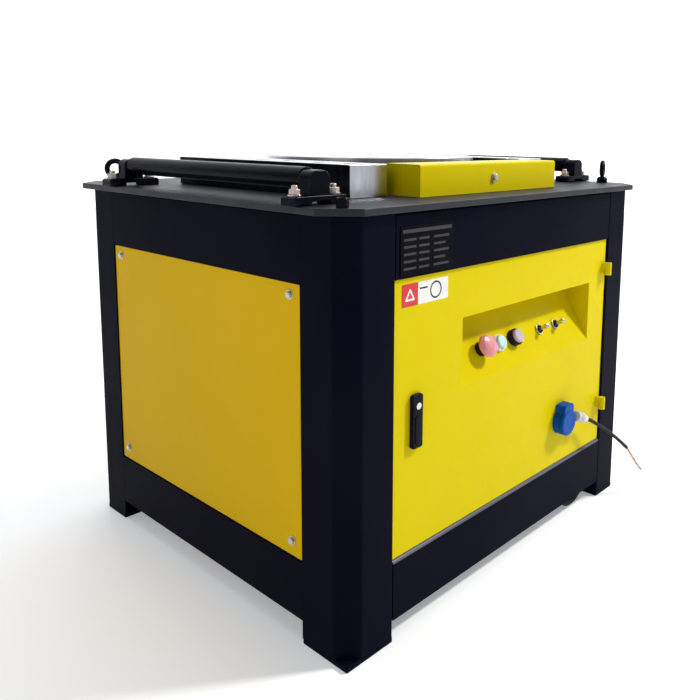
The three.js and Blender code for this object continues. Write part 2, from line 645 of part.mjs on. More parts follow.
// The lever and its spindle turn together; the cam on the spindle's end catches behind the post.
function doorHandle() {
  const { x, low, high, w, front, spindle, pivot } = HANDLE;
  const back = DOOR.face - GAP;
  const c = 4;
  const half = w / 2;
  const outline = [[-half, low], [half, low], [half, high - c], [half - c, high], [c - half, high],
    [-half, high - c]];
  const lever = prismY(outline.map(([a, b]) => [x + a, b]), front, back);
  const scoop = box(x - 7, x + 7, front - 1, front + 2, low + 8, pivot - 16);
  const shaft = alongY(rod(spindle, front + 3, CAM.back + 3, 16)).translate(x, 0, pivot);
  place('door_handle', join(cut(lever, scoop), shaft), BLACK);
  const tongue = box(x - CAM.w / 2, x + CAM.w / 2, CAM.back - CAM.t, CAM.back, pivot - 10, pivot + CAM.reach);
  const hole = alongY(rod(spindle + 0.5, CAM.back - CAM.t - 1, CAM.back + 1, 16)).translate(x, 0, pivot);
  place('lock_cam', cut(tongue, hole), ZINC);
}

function nameplate() {
  const { left, right, low, high, t } = NAMEPLATE;
  const back = -CABINET.y - GAP;
  place('nameplate', box(left, right, back - t, back, low, high), BLACK);
}

function controls() {
  const { r, stem } = ESTOP;
  const mushroom = [[0, -16], [stem, -16], [stem, 13], [r - 3, 13], [r, 16], [r, 21], [r - 3, 26],
    [r - 9, 29], [0, 30]];
  standOnConsole(place('emergency_stop', turned(mushroom, 28), RED), ESTOP.x);
  const buttons = [['start_button', START, GREEN_PALE], ['stop_button', STOP, LILAC]];
  for (const [name, { x, r: radius, h }, look] of buttons) {
    const plunger = [[0, -14], [radius, -14], [radius, h - 1.5], [radius - 1.5, h], [0, h]];
    standOnConsole(place(name, turned(plunger), look), x);
  }
  const { ball, xs } = TOGGLE;
  const lever = [[0, -ball], [ball * 0.7, -ball * 0.7], [ball, 0], [ball * 0.7, ball * 0.7], [2.2, ball],
    [3.4, 22], [2.8, 24.5], [0, 25.4]];
  for (const [i, name] of ['toggle_left', 'toggle_right'].entries()) {
    standOnConsole(place(name, turned(lever, 12), ZINC), xs[i]);
  }
}

// The switch bodies and terminals sit in a folded box screwed behind the console.
function controlBox() {
  const { left, right, low, high, back, t } = CONTROL_BOX;
  const front = DOOR.face + DOOR.t + GAP;
  const shell = cut(box(left, right, front, back, low, high),
    box(left + t, right - t, front - 1, back - t, low + t, high - t));
  place('control_box', shell, ZINC);
}

// The raised rib on top of the socket, carried on by the same rib on the plug.
function rib(front, back) {
  const half = PLUG.knobW / 2;
  const low = SOCKET.z + PLUG.knobLow;
  return box(SOCKET.x - half, SOCKET.x + half, front, back, low, PLUG.knobTop);
}

function panelSocket() {
  const { x, z, r, front } = SOCKET;
  const back = DOOR.face - GAP;
  const depth = back - front;
  const body = turned([[0, 0], [r, 0], [r, depth - 2], [r - 2, depth], [0, depth]], 28);
  const drum = body.rotateX(Math.PI / 2).translate(x, back, z);
  place('panel_socket', join(drum, rib(front, back)), BLUE);
}

function plugAndLead() {
  const { x, z, front } = SOCKET;
  const back = front - GAP;
  const depth = back - PLUG.front;
  const cap = turned([[0, 0], [PLUG.r, 0], [PLUG.r, depth - 3], [PLUG.r - 3, depth], [0, depth]], 28)
    .rotateX(Math.PI / 2).translate(x, back, z);
  place('plug', join(cap, rib(PLUG.front + 1, back)), BLUE);

  const from = new THREE.Vector3(...GLAND.start);
  const to = new THREE.Vector3(...GLAND.end);
  const length = from.distanceTo(to);
  const profile = [[0, 0], [GLAND.r - 2, 0], [GLAND.r, 3], [GLAND.r, length * 0.55], [GLAND.tip, length],
    [0, length]];
  const gland = place('cable_gland', turned(profile, 16), PALE_GREY);
  gland.position.copy(from);
  gland.quaternion.setFromUnitVectors(new THREE.Vector3(0, 0, 1), to.sub(from).normalize());

  const sheath = swept(LEAD_ROUTE, LEAD.r, LEAD.sides);
  place('mains_lead', pointed(sheath, LEAD_ROUTE[0], LEAD.r, LEAD.tip), BLACK);
  place('bared_cores', swept(CORE_ROUTE, CORE_R, LEAD.sides), COPPER);
}

cornerPosts();
rails();
panels();
baseTray();
tablePlate();
pinBlocks();
rollers();
eyeBolts();
switchCover();
gearbox();
mainSpindle();
wormWheel();
wormShaft();
motor();
driveBelt();
bendingDisc();
castors();
door();
hingePosts();
doorHandle();
nameplate();
controls();
controlBox();
panelSocket();
plugAndLead();

export default machine;
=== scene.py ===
"""Looks for a rebar bending machine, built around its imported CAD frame.

The machine's own sizes are in millimetres, and MM turns them into Blender's metres. The camera's
place, the studio, the depths of bumps and the cord's diameter are in metres.
"""

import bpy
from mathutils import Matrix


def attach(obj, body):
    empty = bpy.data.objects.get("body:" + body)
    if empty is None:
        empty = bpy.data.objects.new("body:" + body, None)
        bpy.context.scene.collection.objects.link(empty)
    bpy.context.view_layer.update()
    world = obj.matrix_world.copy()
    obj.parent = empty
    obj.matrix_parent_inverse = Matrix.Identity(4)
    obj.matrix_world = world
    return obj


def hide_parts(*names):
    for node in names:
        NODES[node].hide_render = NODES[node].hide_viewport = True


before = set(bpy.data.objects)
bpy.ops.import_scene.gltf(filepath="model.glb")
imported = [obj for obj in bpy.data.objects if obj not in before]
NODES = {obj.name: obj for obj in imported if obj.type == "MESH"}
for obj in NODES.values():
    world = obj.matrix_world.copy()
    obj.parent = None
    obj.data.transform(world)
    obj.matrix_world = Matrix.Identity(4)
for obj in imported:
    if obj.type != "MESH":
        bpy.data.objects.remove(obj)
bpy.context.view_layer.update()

import math

import bmesh
import bpy
from mathutils import Matrix, Vector

MM = 0.001
TAU = 2 * math.pi
SHARP = math.radians(50)

# ---------------------------------------------------------------- dimensions shared with the CAD

CAB_X, CAB_Y, SHEET = 400, 358, 4
POST_X, POST_Y, CHAMFER, FOLD = 92, 94, 27, 24
GAP = 0.3
UNDER, TABLE_TOP = 635, 645
DECK = TABLE_TOP + GAP
BLOCK_TOP = 695
PIN_HOLE = 17
PANEL_LOW, PANEL_HIGH = 127.5, 533.5
DOOR_FACE = -354
DOOR_SEAT = DOOR_FACE - GAP
LEAN = math.radians(60)
LINE = 46
RECESS_LOW = 349.3


# ---------------------------------------------------------------- shapes in the flat

def ring(cx, cy, r, n, start=0.0):
    """A circle, or a regular polygon, as n points."""
    turns = [start + TAU * i / n for i in range(n)]
    return [(cx + r * math.cos(t), cy + r * math.sin(t)) for t in turns]


def rect(x0, x1, y0, y1):
    """A rectangle's corners, counterclockwise from the low one."""
    return [(x0, y0), (x1, y0), (x1, y1), (x0, y1)]


def fillet(points, r, steps=5, closed=True):
    """Rounds the corners of a polyline. r is one radius, or one for each point."""
    count = len(points)
    radii = list(r) if hasattr(r, "__len__") else [r] * count
    made = []
    for i, p in enumerate(points):
        if not closed and i in (0, count - 1) or radii[i] <= 0:
            made.append(tuple(p))
            continue
        p = Vector(p)
        a, b = Vector(points[i - 1]), Vector(points[(i + 1) % count])
        u, v = (a - p), (b - p)
        lu, lv = u.length, v.length
        if lu < 1e-6 or lv < 1e-6:
            made.append(tuple(p))
            continue
        u, v = u / lu, v / lv
        angle = u.angle(v)
        if angle > math.pi - 0.02 or angle < 0.02:
            made.append(tuple(p))
            continue
        reach = min(radii[i] / math.tan(angle / 2), 0.49 * lu, 0.49 * lv)
        radius = reach * math.tan(angle / 2)
        bisector = (u + v).normalized()
        centre = p + bisector * (radius / math.sin(angle / 2))
        start, end = p + u * reach - centre, p + v * reach - centre
        turn = start.angle_signed(end) if start.length > 1e-9 else 0
        for k in range(steps + 1):
            t = -turn * k / steps
            c, s = math.cos(t), math.sin(t)
            made.append((centre.x + start.x * c - start.y * s, centre.y + start.x * s + start.y * c))
    return made


def area(points):
    """The area inside an outline, positive where it runs counterclockwise."""
    return sum(a[0] * b[1] - b[0] * a[1] for a, b in zip(points, points[1:] + points[:1])) / 2


def wound(points, positive):
    """An outline turned to run counterclockwise where positive, and clockwise otherwise."""
    return points if (area(points) > 0) == positive else points[::-1]


# ---------------------------------------------------------------- solids

AXES = {
    "Z": Matrix(((1, 0, 0, 0), (0, 1, 0, 0), (0, 0, 1, 0), (0, 0, 0, 1))),
    "X": Matrix(((0, 0, 1, 0), (1, 0, 0, 0), (0, 1, 0, 0), (0, 0, 0, 1))),
    "Y": Matrix(((1, 0, 0, 0), (0, 0, 1, 0), (0, 1, 0, 0), (0, 0, 0, 1))),
}


def settle(mesh):
    """Welds a mesh, turns its faces outward and shades it smooth between sharp edges."""
    work = bmesh.new()
    work.from_mesh(mesh)
    bmesh.ops.remove_doubles(work, verts=work.verts, dist=2e-6)
    bmesh.ops.dissolve_degenerate(work, edges=work.edges, dist=1e-6)
    bmesh.ops.recalc_face_normals(work, faces=work.faces)
    work.to_mesh(mesh)
    work.free()
    mesh.shade_smooth()
    mesh.set_sharp_from_angle(angle=SHARP)
    mesh.update()
    return mesh


def piece(name, mesh, body, look, stands_for=(), weighted=True):
    """A mesh as a piece that rides on a body, with its look and the CAD nodes it replaces."""
    made = bpy.data.objects.new(name, mesh)
    bpy.context.scene.collection.objects.link(made)
    mesh.materials.clear()
    mesh.materials.append(look)
    if weighted:
        normals = made.modifiers.new("normals", "WEIGHTED_NORMAL")
        normals.keep_sharp = True
        normals.weight = 70
    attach(made, body)
    if stands_for:
        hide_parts(*stands_for)
    return made


def plate_mesh(outline, lo, hi, holes=(), axis="Z", bevel=0.6, steps=2):
    """An outline with holes, in mm, as a plate with rounded edges between lo and hi along an axis."""
    curve = bpy.data.curves.new("plate", "CURVE")
    curve.dimensions = "2D"
    curve.fill_mode = "BOTH"
    curve.extrude = ((hi - lo) / 2 - bevel) * MM
    curve.bevel_depth = bevel * MM
    curve.bevel_resolution = steps
    curve.offset = -bevel * MM
    for points, positive in [(outline, True)] + [(hole, False) for hole in holes]:
        points = wound(list(points), positive)
        spline = curve.splines.new("POLY")
        spline.points.add(len(points) - 1)
        for target, (a, b) in zip(spline.points, points):
            target.co = (a * MM, b * MM, 0, 1)
        spline.use_cyclic_u = True
    holder = bpy.data.objects.new("plate", curve)
    bpy.context.scene.collection.objects.link(holder)
    graph = bpy.context.evaluated_depsgraph_get()
    mesh = bpy.data.meshes.new_from_object(holder.evaluated_get(graph))
    bpy.data.objects.remove(holder)
    bpy.data.curves.remove(curve)
    mesh.transform(AXES[axis] @ Matrix.Translation((0, 0, (lo + hi) / 2 * MM)))
    return settle(mesh)


def lathe_mesh(profile, count=64, soft=0.0, place=None):
    """A profile of (radius, height) in mm, turned about Z.

    It starts and ends on the axis, or closes on itself.
    """
    closed = profile[0] == profile[-1]
    points = profile[:-1] if closed else profile
    if soft:
        points = fillet(points, soft, 3, closed)
    work = bmesh.new()
    rings = []
    for r, h in points:
        if r < 1e-6:
            rings.append([work.verts.new((0, 0, h * MM))])
        else:
            rings.append([work.verts.new((r * MM * math.cos(TAU * i / count),
                                          r * MM * math.sin(TAU * i / count), h * MM))
                          for i in range(count)])
    pairs = list(zip(rings, rings[1:])) + ([(rings[-1], rings[0])] if closed else [])
    for low, high in pairs:
        for i in range(count):
            j = (i + 1) % count
            corners = []
            for v in (low[i % len(low)], low[j % len(low)], high[j % len(high)], high[i % len(high)]):
                if v not in corners:
                    corners.append(v)
            if len(corners) > 2:
                work.faces.new(corners)
    mesh = bpy.data.meshes.new("turned")
    work.to_mesh(mesh)
    work.free()
    if place is not None:
        mesh.transform(place)
    return settle(mesh)


def merged(*meshes):
    """Several meshes as one. The separate ones are removed."""
    work = bmesh.new()
    for mesh in meshes:
        work.from_mesh(mesh)
    result = bpy.data.meshes.new("merged")
    work.to_mesh(result)
    work.free()
    for mesh in meshes:
        bpy.data.meshes.remove(mesh)
    result.shade_smooth()
    result.set_sharp_from_angle(angle=SHARP)
    return result


def at(x, y, z, axis="Z", spin=0.0):
    """A placing matrix, in mm, that lays +Z along an axis: X, -X, Y, -Y, Z or -Z."""
    quarter = math.pi / 2
    turn = {"Z": Matrix(), "-Z": Matrix.Rotation(math.pi, 4, "X"),
            "X": Matrix.Rotation(quarter, 4, "Y"), "-X": Matrix.Rotation(-quarter, 4, "Y"),
            "Y": Matrix.Rotation(-quarter, 4, "X"), "-Y": Matrix.Rotation(quarter, 4, "X")}[axis]
    return Matrix.Translation((x * MM, y * MM, z * MM)) @ turn @ Matrix.Rotation(spin, 4, "Z")


def pointing(start, end):
    """A placing matrix, in mm, that lays +Z from start towards end."""
    d = Vector(end) - Vector(start)
    return Matrix.Translation(Vector(start) * MM) @ d.to_track_quat("Z", "Y").to_matrix().to_4x4()


def tube_mesh(points, r, sides=10, closed=False):
    """A round wire along points in mm."""
    work = bmesh.new()
    pts = [Vector(p) for p in points]
    count = len(pts)
    turns = [TAU * k / sides for k in range(sides)]
    rings, normal = [], None
    for i, p in enumerate(pts):
        a = pts[(i - 1) % count] if closed or i else p
        b = pts[(i + 1) % count] if closed or i < count - 1 else p
        tangent = (b - a).normalized()
        if normal is None:
            normal = tangent.orthogonal().normalized()
        normal = (normal - tangent * normal.dot(tangent)).normalized()
        side = tangent.cross(normal)
        rings.append([work.verts.new((p + r * (normal * math.cos(t) + side * math.sin(t))) * MM)
                      for t in turns])
    for low, high in list(zip(rings, rings[1:])) + ([(rings[-1], rings[0])] if closed else []):
        for k in range(sides):
            work.faces.new((low[k], low[(k + 1) % sides], high[(k + 1) % sides], high[k]))
    if not closed:
        work.faces.new(rings[0][::-1])
        work.faces.new(rings[-1])
    mesh = bpy.data.meshes.new("wire")
    work.to_mesh(mesh)
    work.free()
    return settle(mesh)


def smooth_route(points, step):
    """A Catmull-Rom curve through points, as points about step apart."""
    pts = [Vector(p) for p in points]
    pts = [2 * pts[0] - pts[1]] + pts + [2 * pts[-1] - pts[-2]]
    made = []
    for i in range(1, len(pts) - 2):
        p0, p1, p2, p3 = pts[i - 1:i + 3]
        parts = max(1, round((p2 - p1).length / step))
        for k in range(parts):
            t = k / parts
            made.append(0.5 * (2 * p1 + (p2 - p0) * t + (2 * p0 - 5 * p1 + 4 * p2 - p3) * t * t
                               + (3 * p1 - p0 - 3 * p2 + p3) * t ** 3))
    made.append(pts[-2])
    return made


# ---------------------------------------------------------------- materials

class Look:
    """A material under construction: node helpers around one Principled shader."""

    def __init__(self, name, color, rough, metal=0.0, **shader):
        self.mat = bpy.data.materials.new(name)
        self.mat.use_nodes = True
        self.tree = self.mat.node_tree
        self.shader = next(n for n in self.tree.nodes if n.type == "BSDF_PRINCIPLED")
        self.set("Base Color", (*color, 1))
        self.set("Roughness", rough)
        self.set("Metallic", metal)
        for key, value in shader.items():
            self.set(key.replace("_", " "), value)
        self.where = self.node("ShaderNodeTexCoord").outputs["Object"]
        self.color = color

    def set(self, socket, value):
        self.shader.inputs[socket].default_value = value

    def node(self, kind, **values):
        made = self.tree.nodes.new(kind)
        for key, value in values.items():
            if key in made.inputs:
                target = made.inputs[key]
                if isinstance(value, bpy.types.NodeSocket):
                    self.tree.links.new(value, target)
                else:
                    target.default_value = value
            else:
                setattr(made, key, value)
        return made

    def link(self, output, socket):
        self.tree.links.new(output, self.shader.inputs[socket])

    def stretched(self, scale):
        return self.node("ShaderNodeMapping", Vector=self.where, Scale=scale).outputs["Vector"]

    def noise(self, scale, detail=3.0, rough=0.55, stretch=None, where=None):
        coords = where or (self.stretched(stretch) if stretch else self.where)
        made = self.node("ShaderNodeTexNoise", Vector=coords, Scale=scale, Detail=detail, Roughness=rough)
        return made.outputs["Fac"]

    def ranged(self, value, a, b, to_a, to_b):
        made = self.node("ShaderNodeMapRange", Value=value)
        for i, v in ((1, a), (2, b), (3, to_a), (4, to_b)):
            made.inputs[i].default_value = v
        return made.outputs[0]

    def maths(self, operation, a, b=0.0):
        made = self.tree.nodes.new("ShaderNodeMath")
        made.operation = operation
        for i, v in ((0, a), (1, b)):
            if isinstance(v, bpy.types.NodeSocket):
                self.tree.links.new(v, made.inputs[i])
            else:
                made.inputs[i].default_value = v
        return made.outputs[0]

    def mix(self, factor, a, b):
        made = self.tree.nodes.new("ShaderNodeMix")
        made.data_type = "RGBA"
        for i, v in ((0, factor), (6, a), (7, b)):
            if isinstance(v, bpy.types.NodeSocket):
                self.tree.links.new(v, made.inputs[i])
            elif i == 0:
                made.inputs[0].default_value = v
            else:
                made.inputs[i].default_value = (*v, 1)
        return made.outputs[2]

    def vary(self, scale, amount):
        """Colour that drifts lighter and darker over the surface."""
        drift = self.ranged(self.noise(scale, 4.0), 0.3, 0.7, 0, 1)
        dark = tuple(c * (1 - amount) for c in self.color)
        light = tuple(min(1, c * (1 + amount) + 0.002) for c in self.color)
        return self.mix(drift, dark, light)

    def rough(self, scale, low, high, stretch=None):
        self.link(self.ranged(self.noise(scale, 5, stretch=stretch), 0.3, 0.7, low, high), "Roughness")

    def bump(self, height, distance, strength=1.0, over=None):
        made = self.node("ShaderNodeBump", Height=height, Distance=distance, Strength=strength)
        if over is not None:
            self.tree.links.new(over, made.inputs["Normal"])
        self.link(made.outputs["Normal"], "Normal")
        return made.outputs["Normal"]

    def edges(self, low=0.52, high=0.6):
        """Near 1 on outer edges, where paint rubs thin."""
        convex = self.node("ShaderNodeNewGeometry").outputs["Pointiness"]
        rub = self.ranged(convex, low, high, 0, 1)
        return self.maths("MULTIPLY", rub, self.ranged(self.noise(60, 6), 0.42, 0.62, 0, 1))


def darker(color, share):
    """A colour at a share of its brightness."""
    return tuple(c * share for c in color)


def paint(name, color, rough, wear=None, dust=(0.4, 0.4, 0.42), dusty=0.06, drift=0.08, shine=0.5):
    """Sprayed paint: slow drift in colour, orange peel, a little dust and, with wear, rubbed edges."""
    look = Look(name, color, sum(rough) / 2, Specular_IOR_Level=shine)
    base = look.vary(5, drift)
    specks = look.ranged(look.noise(34, 9, 0.7), 0.52, 0.78, 0, dusty)
    shade = look.mix(specks, base, dust)
    if wear:
        shade = look.mix(look.maths("MULTIPLY", look.edges(), 0.55), shade, wear)
    look.link(shade, "Base Color")
    look.rough(26, *rough)
    slow = look.bump(look.noise(9, 2), 0.0012, 0.25)
    look.bump(look.noise(520, 2), 0.00012, 0.5, over=slow)
    return look.mat


def machined(name, color, stretch, rough=(0.2, 0.38), rust=0.0):
    """Bare cut steel: fine tool lines one way, dull patches and a touch of rust."""
    look = Look(name, color, sum(rough) / 2, 1.0)
    tool = look.noise(900, 3, 0.6, stretch=stretch)
    patches = look.noise(18, 6)
    base = look.mix(look.ranged(tool, 0.35, 0.65, 0, 0.5), color, darker(color, 0.72))
    base = look.mix(look.ranged(patches, 0.45, 0.75, 0, 0.35), base, darker(color, 0.6))
    if rust:
        base = look.mix(look.ranged(look.noise(55, 8, 0.7), 0.62, 0.74, 0, rust), base, (0.19, 0.09, 0.04))
    look.link(base, "Base Color")
    look.rough(70, *rough, stretch=stretch)
    look.bump(tool, 0.00006, 0.6)
    return look.mat


def moulded(name, color, rough=(0.25, 0.4), coat=0.0, sub=0.0, shine=0.3):
    """Moulded plastic: faint scuffs and a fine grain."""
    look = Look(name, color, sum(rough) / 2, Coat_Weight=coat, Coat_Roughness=0.1, Subsurface_Weight=sub,
                Subsurface_Scale=0.002, Specular_IOR_Level=shine)
    scuffs = look.ranged(look.noise(120, 8, 0.7), 0.6, 0.75, 0, 0.12)
    look.link(look.mix(scuffs, look.vary(40, 0.05), tuple(0.85 * c + 0.02 for c in color)), "Base Color")
    look.rough(90, *rough)
    look.bump(look.noise(1600, 2), 0.00004, 0.5)
    return look.mat


def plated(name, color, rough=(0.22, 0.42), metal=0.95):
    """Plated metal with darker patches."""
    look = Look(name, color, sum(rough) / 2, metal)
    patches = look.ranged(look.noise(150, 5), 0.35, 0.7, 0, 0.4)
    look.link(look.mix(patches, look.vary(30, 0.1), darker(color, 0.6)), "Base Color")
    look.rough(200, *rough)
    look.bump(look.noise(900, 3), 0.00003, 0.5)
    return look.mat


def cast(name, color):
    """Painted iron with a sand-cast skin."""
    rough = (0.45, 0.7)
    look = Look(name, color, sum(rough) / 2, 0.1)
    rubbed = look.maths("MULTIPLY", look.edges(0.53, 0.62), 0.5)
    look.link(look.mix(rubbed, look.vary(12, 0.14), (0.3, 0.3, 0.3)), "Base Color")
    look.rough(60, *rough)
    slow = look.bump(look.noise(70, 4), 0.0006, 0.35)
    look.bump(look.noise(420, 5), 0.00025, 0.5, over=slow)
    return look.mat


def turned_face(name, color):
    """A disc face cut on a lathe: tool rings about the Z axis."""
    look = Look(name, color, 0.3, 1.0)
    split = look.node("ShaderNodeSeparateXYZ", Vector=look.where)
    square = [look.maths("MULTIPLY", split.outputs[i], split.outputs[i]) for i in (0, 1)]
    radius = look.maths("SQRT", look.maths("ADD", *square))
    along = look.node("ShaderNodeCombineXYZ", X=radius, Y=look.maths("MULTIPLY", split.outputs[2], 0.6))
    tool = look.noise(1500, 2, 0.6, where=along.outputs["Vector"])
    stain = look.noise(20, 7, 0.62)
    base = look.mix(look.ranged(tool, 0.35, 0.65, 0, 0.45), color, darker(color, 0.7))
    base = look.mix(look.ranged(stain, 0.5, 0.72, 0, 0.3), base, (0.3, 0.24, 0.19))
    look.link(base, "Base Color")
    look.rough(50, 0.2, 0.4)
    look.bump(tool, 0.00008, 0.6)
    return look.mat


def rubber(name, color, rough=(0.6, 0.8)):
    """Dull black rubber with dusty patches."""
    look = Look(name, color, sum(rough) / 2, Specular_IOR_Level=0.12)
    patches = look.ranged(look.noise(60, 7), 0.55, 0.75, 0, 0.12)
    look.link(look.mix(patches, look.vary(20, 0.15), (0.05, 0.047, 0.042)), "Base Color")
    look.rough(80, *rough)
    look.bump(look.noise(700, 3), 0.00012, 0.5)
    return look.mat


NAVY = paint("navy_powder_coat", (0.0022, 0.0026, 0.0085), (0.34, 0.4), dust=(0.014, 0.016, 0.03), dusty=0.03,
             drift=0.04, shine=0.012)
NAVY_TOP = paint("navy_table_top", (0.0035, 0.004, 0.0105), (0.42, 0.54), wear=(0.03, 0.034, 0.05),
                 dust=(0.05, 0.05, 0.07), dusty=0.04, shine=0.35)
YELLOW = paint("yellow_enamel", (0.66, 0.53, 0.001), (0.24, 0.3), dust=(0.6, 0.48, 0.01),
               dusty=0.03, drift=0.015, shine=0.025)
# A darker, more orange copy of the yellow enamel for the side panels: painted shade for sides turned away
# from the key light, not a different paint.
SHADED_YELLOW = paint("yellow_enamel_painted_shade", (0.68, 0.43, 0.001), (0.16, 0.22), dust=(0.6, 0.38, 0.01),
              dusty=0.03, drift=0.02, shine=0.03)
# A lighter grey-blue paint with some dust specks for the top of the front bottom rail: a painted highlight
# standing in for the rail's lit top edge.
RAIL_TOP_HIGHLIGHT = paint("painted_highlight_rail_top", (0.1, 0.105, 0.13), (0.3, 0.42), dust=(0.2, 0.2, 0.23), dusty=0.2, shine=0.2)
BLACK_GLOSS = paint("black_gloss", (0.0022, 0.0026, 0.0068), (0.16, 0.26), wear=(0.03, 0.033, 0.05),
                    dust=(0.025, 0.027, 0.045), dusty=0.04, shine=0.05)
STEEL_Y = machined("milled_steel", (0.62, 0.63, 0.66), (1, 0.06, 1), rust=0.25)
STEEL_END = machined("ground_steel", (0.72, 0.74, 0.79), (1, 1, 0.05), rough=(0.16, 0.3))
STEEL_DISC = turned_face("turned_steel", (0.6, 0.61, 0.64))
STEEL = machined("plain_steel", (0.55, 0.56, 0.58), (1, 0.3, 1), rough=(0.28, 0.45))
ZINC = plated("zinc_plate", (0.62, 0.62, 0.6))
ZINC_YELLOW = plated("warm_zinc_plate", (0.66, 0.55, 0.5))
CAST = cast("cast_iron_paint", (0.05, 0.07, 0.09))
BRONZE = machined("bronze", (0.6, 0.37, 0.14), (1, 1, 0.4), rough=(0.25, 0.45))
BELT = rubber("belt_rubber", (0.02, 0.02, 0.02))
TYRE = rubber("wheel_black", (0.012, 0.012, 0.014))
SHEATH = rubber("lead_sheath", (0.012, 0.012, 0.013), (0.4, 0.6))
BLACK_PLASTIC = moulded("black_plastic", (0.007, 0.006, 0.011), (0.3, 0.5), shine=0.12)
RED = moulded("red_plastic", (0.72, 0.26, 0.3), (0.2, 0.34), coat=0.3, sub=0.1)
PALE_GREEN = moulded("pale_green_plastic", (0.5, 0.72, 0.76), (0.25, 0.4), sub=0.15)
LILAC = moulded("lilac_plastic", (0.5, 0.4, 0.48), (0.25, 0.4), sub=0.1)
WHITE_PLASTIC = moulded("white_plastic", (0.8, 0.8, 0.82), (0.25, 0.4))
GREY_PLASTIC = moulded("grey_plastic", (0.6, 0.61, 0.64), (0.3, 0.45), sub=0.1)
BLUE = moulded("blue_plastic", (0.001, 0.065, 0.34), (0.2, 0.35), shine=0.05)
COPPER = plated("copper_strands", (0.6, 0.42, 0.32), (0.42, 0.58), 0.7)


# ---------------------------------------------------------------- camera, light and floor

def camera():
    """The photograph's viewpoint. Lens and sensor are in mm, and shifts are shares of the picture's width."""
    yaw, pitch, roll = -0.8391, -0.1392, 0.0117
    d = Vector((-math.cos(pitch) * math.sin(yaw), math.cos(pitch) * math.cos(yaw), math.sin(pitch)))
    r = Vector((math.cos(yaw), math.sin(yaw), 0))
    u = r.cross(d)
    right = r * math.cos(roll) + u * math.sin(roll)
    up = u * math.cos(roll) - r * math.sin(roll)
    data = bpy.data.cameras.new("camera")
    data.sensor_width = 36
    data.lens = 38.35543
    data.shift_x = -0.0855714
    data.shift_y = -0.1561429
    data.clip_end = 50
    eye = bpy.data.objects.new("camera", data)
    turn = Matrix((right, up, -d)).transposed()
    eye.matrix_world = Matrix.Translation((-1.0436, -1.0436, 0.7372)) @ turn.to_4x4()
    bpy.context.scene.collection.objects.link(eye)
    bpy.context.scene.camera = eye


def area_light(name, place, target, size, power, color=(1, 1, 1)):
    """A rectangular lamp, in metres and watts, facing its target."""
    data = bpy.data.lights.new(name, "AREA")
    data.shape = "RECTANGLE"
    data.size, data.size_y = size
    data.energy = power
    data.color = color
    made = bpy.data.objects.new(name, data)
    made.location = place
    made.rotation_euler = (Vector(target) - Vector(place)).to_track_quat("-Z", "Y").to_euler()
    bpy.context.scene.collection.objects.link(made)


def studio():
    """A pale floor and backdrop under plain soft light, in metres."""
    world = bpy.data.worlds.new("studio")
    bpy.context.scene.world = world
    world.use_nodes = True
    background = world.node_tree.nodes["Background"]
    background.inputs["Color"].default_value = (0.86, 0.91, 1, 1)
    background.inputs["Strength"].default_value = 0.28
    area_light("key", (2.18, -2.1, 3.2), (0, 0, 0.35), (0.4, 0.4), 142, (1, 0.99, 0.96))
    area_light("left_fill", (-2.6, -0.6, 1.6), (-0.3, 0, 0.3), (1.6, 1.8), 9, (1, 0.86, 0.66))
    area_light("top", (0.2, 0.6, 3.2), (0, 0, 0.6), (2.4, 2.4), 24)
    bpy.context.scene.view_settings.view_transform = "Standard"
    half, away, distance = 30, Vector((0.744, 0.668, 0)), 6
    upright = away.to_track_quat("Z", "Y").to_matrix().to_4x4()
    stage_sheet("floor", half, Matrix(), 0.3)
    stage_sheet("backdrop", half, Matrix.Translation(away * distance) @ upright, 0.85)


def stage_sheet(name, half, place, glow):
    """A plain pale sheet that the machine stands on or in front of."""
    grid = bmesh.new()
    bmesh.ops.create_grid(grid, x_segments=1, y_segments=1, size=half)
    mesh = bpy.data.meshes.new(name)
    grid.to_mesh(mesh)
    grid.free()
    mesh.transform(place)
    look = Look(f"pale_{name}", (0.86, 0.86, 0.86), 0.7, Emission_Color=(0.95, 0.97, 1, 1),
                Emission_Strength=glow)
    look.link(look.vary(1.5, 0.01), "Base Color")
    mesh.materials.append(look.mat)
    sheet = bpy.data.objects.new(name, mesh)
    bpy.context.scene.collection.objects.link(sheet)


# ---------------------------------------------------------------- the free lead

LEAD_ROUTE = [
    (224.7, -373.4, 195.8), (233.7, -374.3, 191.6), (242.2, -375.5, 186.9), (250.5, -377, 181.8),
    (258.8, -378.7, 176.6), (267, -380.4, 171.1), (275, -382.1, 165.7), (283.1, -383.9, 160.1),
    (291, -385.6, 154.4), (298.8, -387.4, 148.8), (306.6, -389.1, 142.9), (314.3, -390.9, 137),
    (321.8, -392.7, 130.8), (329.3, -394.5, 124.6), (336.7, -396.3, 118.2), (344, -398, 111.8),
    (351.3, -399.6, 105.3),
]
CORE_ROUTE = [
    (351.9, -399.8, 104.7), (357.3, -401.2, 98), (362.7, -402.9, 90.3), (368.2, -404.9, 82.4),
    (373.6, -407.4, 73.8), (379, -410, 65.4), (384.7, -413, 57.3), (390.4, -416, 49.2),
]


